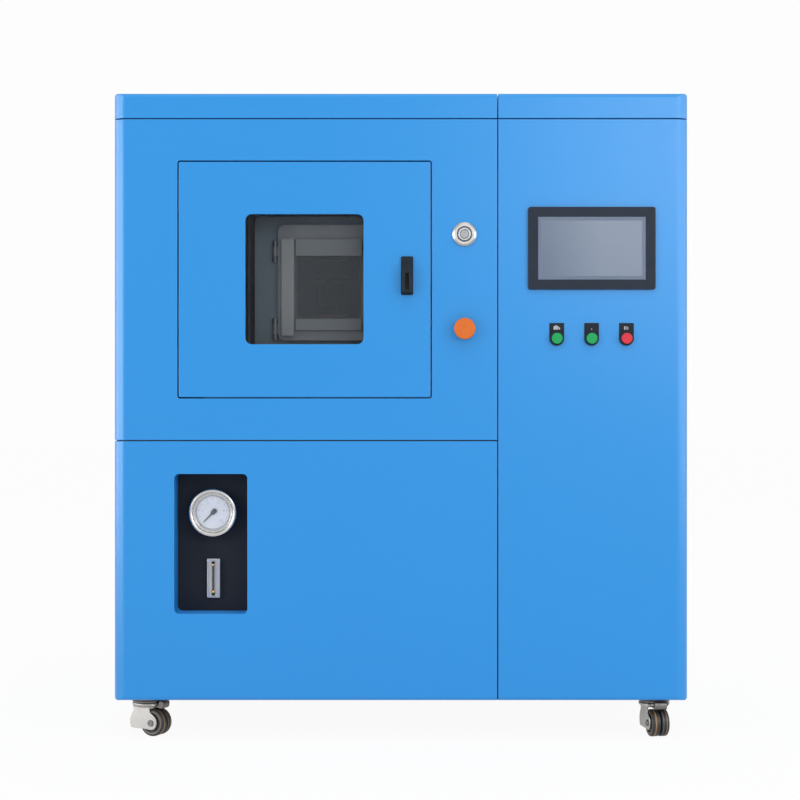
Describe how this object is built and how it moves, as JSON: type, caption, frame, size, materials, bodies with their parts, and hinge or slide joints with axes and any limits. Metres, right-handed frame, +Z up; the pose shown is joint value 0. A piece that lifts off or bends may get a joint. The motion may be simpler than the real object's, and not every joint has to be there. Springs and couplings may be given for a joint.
{
  "type": "spark plasma sintering furnace",
  "caption": "Floor standing sintering furnace: sheet metal cabinet on casters, hinged door with a window over a vacuum chamber and press, and a control section.",
  "frame": {"origin": "on the floor, under the middle of the cabinet", "axes": "+X to the right seen from the front, +Y from the front to the back, +Z up"},
  "size_m": [1.18, 0.848, 1.325],
  "materials": {
    "blue_paint": "satin powder coat",
    "frame_steel": "matt grey paint",
    "inner_zinc": "zinc coated sheet",
    "pane_glass": "clear",
    "viewport_quartz": "smoked",
    "seal_rubber": "matt",
    "bright_steel": "turned and brushed",
    "stainless": "satin",
    "door_alloy": "anodised grey",
    "fork_zinc": "zinc plated",
    "wheel_rubber": "matt",
    "black_plastic": "fine grain",
    "copper": "bare",
    "brass_fittings": "bare",
    "insulator_ceramic": "matt",
    "graphite": "matt",
    "pump_paint": "satin",
    "supply_paint": "satin",
    "fan_black": "satin",
    "screen_frame": "satin",
    "screen_face": "satin glass",
    "green_cap": "gloss",
    "red_cap": "gloss",
    "orange_head": "satin",
    "instrument_grey": "matt",
    "pointer_black": "matt"
  },
  "bodies": {
    "root": {"cabinet_frame": "frame_steel", "inner_sheets": "inner_zinc", "top_cover_left": "blue_paint", "top_cover_right": "blue_paint", "upper_front_panel": "blue_paint", "lower_front_panel": "blue_paint", "control_front_panel": "blue_paint", "side_panels": "blue_paint", "rear_panels": "blue_paint", "door_hinge_pins": "bright_steel", "vacuum_chamber": "stainless", "press_frame": "frame_steel", "tie_rods": "bright_steel", "hydraulic_cylinder": "frame_steel", "upper_electrode": "copper", "upper_insulator": "insulator_ceramic", "hydraulic_unit": "frame_steel", "vacuum_pump": "pump_paint", "power_supply": "supply_paint", "fan_guard": "fan_black", "rear_fittings": "brass_fittings", "control_backplate": "supply_paint", "touchscreen_housing": "screen_frame", "touchscreen_glass": "screen_face", "legend_plates": "black_plastic", "button_bezels": "black_plastic", "metal_button_bezel": "bright_steel", "instrument_plate": "instrument_grey", "gauge_case": "bright_steel", "gauge_lens": "pane_glass", "level_gauge": "bright_steel", "caster_plates": "bright_steel"},
    "door": {"furnace_door": "blue_paint", "window_seal": "seal_rubber", "window_glass": "pane_glass", "latch_base": "black_plastic"},
    "latch": {"latch_lever": "black_plastic"},
    "inner_door": {"chamber_door": "door_alloy", "viewport_glass": "viewport_quartz", "viewport_clamps": "door_alloy"},
    "ram": {"press_ram": "bright_steel", "lower_electrode": "copper", "graphite_die_set": "graphite"},
    "fan": {"fan_rotor": "black_plastic"},
    "left_button": {"left_button_cap": "green_cap"},
    "middle_button": {"middle_button_cap": "green_cap"},
    "right_button": {"right_button_cap": "red_cap"},
    "metal_button": {"metal_button_cap": "bright_steel"},
    "mushroom": {"mushroom_button": "orange_head"},
    "pointer": {"gauge_pointer": "pointer_black"},
    "front_left_swivel": {"front_left_fork": "fork_zinc"},
    "front_left_roller": {"front_left_wheel": "wheel_rubber"},
    "front_right_swivel": {"front_right_fork": "fork_zinc"},
    "front_right_roller": {"front_right_wheel": "wheel_rubber"},
    "rear_left_swivel": {"rear_left_fork": "fork_zinc"},
    "rear_left_roller": {"rear_left_wheel": "wheel_rubber"},
    "rear_right_swivel": {"rear_right_fork": "fork_zinc"},
    "rear_right_roller": {"rear_right_wheel": "wheel_rubber"},
    "left_pedal": {"left_brake_pedal": "black_plastic"},
    "right_pedal": {"right_brake_pedal": "black_plastic"}
  },
  "joints": [
    {"name": "door_swing", "type": "hinge", "parent": "root", "child": "door", "pos_m": [-0.4355, -0.391, 0.9433], "axis": [0, 0, -1], "range_deg": [0, 105]},
    {"name": "latch_turn", "type": "hinge", "parent": "door", "child": "latch", "pos_m": [0.0125, -0.4, 0.963], "axis": [0, -1, 0], "range_deg": [0, 90]},
    {"name": "inner_door_swing", "type": "hinge", "parent": "root", "child": "inner_door", "pos_m": [-0.2645, -0.2993, 0.9425], "axis": [0, 0, -1], "range_deg": [0, 100]},
    {"name": "ram_lift", "type": "slide", "parent": "root", "child": "ram", "axis": [0, 0, 1], "range_m": [0, 0.03]},
    {"name": "fan_spin", "type": "hinge", "parent": "root", "child": "fan", "pos_m": [0.3942, 0.38, 1.123], "axis": [0, 1, 0], "continuous": true},
    {"name": "gauge_needle", "type": "hinge", "parent": "root", "child": "pointer", "pos_m": [-0.3898, -0.335, 0.4627], "axis": [0, 1, 0], "range_deg": [0, 270], "stiffness_Nm_per_rad": 0.0005, "springref_deg": -17.19},
    {"name": "left_button_press", "type": "slide", "parent": "root", "child": "left_button", "axis": [0, 1, 0], "range_m": [0, 0.004], "stiffness_N_per_m": 400, "springref_m": -0.004},
    {"name": "middle_button_press", "type": "slide", "parent": "root", "child": "middle_button", "axis": [0, 1, 0], "range_m": [0, 0.004], "stiffness_N_per_m": 400, "springref_m": -0.004},
    {"name": "right_button_press", "type": "slide", "parent": "root", "child": "right_button", "axis": [0, 1, 0], "range_m": [0, 0.004], "stiffness_N_per_m": 400, "springref_m": -0.004},
    {"name": "metal_button_press", "type": "slide", "parent": "root", "child": "metal_button", "axis": [0, 1, 0], "range_m": [0, 0.003], "stiffness_N_per_m": 400, "springref_m": -0.004},
    {"name": "mushroom_press", "type": "slide", "parent": "root", "child": "mushroom", "axis": [0, 1, 0], "range_m": [0, 0.005], "stiffness_N_per_m": 400, "springref_m": -0.004},
    {"name": "front_left_swivel_turn", "type": "hinge", "parent": "root", "child": "front_left_swivel", "pos_m": [-0.527, -0.337, 0.0667], "axis": [0, 0, 1], "continuous": true},
    {"name": "front_left_wheel_spin", "type": "hinge", "parent": "front_left_swivel", "child": "front_left_roller", "pos_m": [-0.50887, -0.34545, 0.028], "axis": [0.4226, 0.9063, 0], "continuous": true},
    {"name": "left_pedal_press", "type": "hinge", "parent": "front_left_swivel", "child": "left_pedal", "pos_m": [-0.50525, -0.34714, 0.0617], "axis": [0.4226, 0.9063, 0], "range_deg": [0, 10]},
    {"name": "front_right_swivel_turn", "type": "hinge", "parent": "root", "child": "front_right_swivel", "pos_m": [0.527, -0.337, 0.0667], "axis": [0, 0, 1], "continuous": true},
    {"name": "front_right_wheel_spin", "type": "hinge", "parent": "front_right_swivel", "child": "front_right_roller", "pos_m": [0.53116, -0.35656, 0.028], "axis": [0.9781, 0.2079, 0], "continuous": true},
    {"name": "right_pedal_press", "type": "hinge", "parent": "front_right_swivel", "child": "right_pedal", "pos_m": [0.53199, -0.36048, 0.0617], "axis": [0.9781, 0.2079, 0], "range_deg": [0, 10]},
    {"name": "rear_left_swivel_turn", "type": "hinge", "parent": "root", "child": "rear_left_swivel", "pos_m": [-0.527, 0.337, 0.0667], "axis": [0, 0, 1], "continuous": true},
    {"name": "rear_left_wheel_spin", "type": "hinge", "parent": "rear_left_swivel", "child": "rear_left_roller", "pos_m": [-0.50968, 0.347, 0.028], "axis": [-0.5, 0.866, 0], "continuous": true},
    {"name": "rear_right_swivel_turn", "type": "hinge", "parent": "root", "child": "rear_right_swivel", "pos_m": [0.527, 0.337, 0.0667], "axis": [0, 0, 1], "continuous": true},
    {"name": "rear_right_wheel_spin", "type": "hinge", "parent": "rear_right_swivel", "child": "rear_right_roller", "pos_m": [0.54232, 0.32414, 0.028], "axis": [0.6428, 0.766, 0], "continuous": true}
  ],
  "couplings": [
    {"joint": "inner_door_swing", "follows": "door_swing", "ratio": 0.95}
  ]
}
